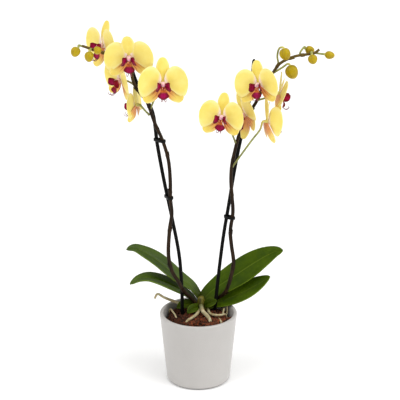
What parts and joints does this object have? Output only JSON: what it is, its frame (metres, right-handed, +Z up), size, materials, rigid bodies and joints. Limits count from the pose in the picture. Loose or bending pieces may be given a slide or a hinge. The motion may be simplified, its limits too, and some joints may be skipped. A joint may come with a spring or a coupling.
{
  "type": "potted orchid",
  "caption": "Potted moth orchid with arching flower stems, yellow blooms with dark red lips, strap leaves and aerial roots, on support sticks in a tapered ceramic pot of bark.",
  "frame": {"origin": "middle of the pot's flat underside, on the surface that the pot stands on", "axes": "+Z up, along the pot's axis. The blooms face -Y, and +X is to the right of someone who looks at them from the front."},
  "size_m": [0.4192, 0.1492, 0.6331],
  "materials": {
    "ceramic": "satin",
    "bark": "matte",
    "crown": "satin",
    "leaf": "satin",
    "root": "matte",
    "stem": "satin",
    "stick": "satin",
    "clip": "gloss",
    "tepal": "satin",
    "lip": "satin",
    "bud": "satin"
  },
  "bodies": {
    "root": {"bark_bed": "bark", "bloom_left_1": "tepal", "bloom_left_2": "tepal", "bloom_left_3": "tepal", "bloom_left_4": "tepal", "bloom_left_5": "tepal", "bloom_right_1": "tepal", "bloom_right_2": "tepal", "bloom_right_3": "tepal", "bloom_right_4": "tepal", "bloom_right_5": "tepal", "bud_left_1": "bud", "bud_left_2": "bud", "bud_left_3": "bud", "bud_right_1": "bud", "bud_right_2": "bud", "bud_right_3": "bud", "bud_right_4": "bud", "bud_right_5": "bud", "clip_left_lower": "clip", "clip_left_middle": "clip", "clip_left_top": "clip", "clip_right": "clip", "crown": "crown", "leaf_left_lower": "leaf", "leaf_left_upper": "leaf", "leaf_right_lower": "leaf", "leaf_right_upper": "leaf", "leaf_small_left_back": "leaf", "leaf_small_left_front": "leaf", "leaf_small_right": "leaf", "lip_left_1": "lip", "lip_left_2": "lip", "lip_left_3": "lip", "lip_left_4": "lip", "lip_left_5": "lip", "lip_right_1": "lip", "lip_right_2": "lip", "lip_right_3": "lip", "lip_right_4": "lip", "lip_right_5": "lip", "pot": "ceramic", "root_fork_left": "root", "root_large_front": "root", "root_over_rim_left": "root", "root_over_rim_right": "root", "root_right_arm": "root", "root_right_branch": "root", "root_right_small": "root", "root_thin_left": "root", "stem_left": "stem", "stem_right": "stem", "stick_left": "stick", "stick_right": "stick"}
  },
  "joints": []
}
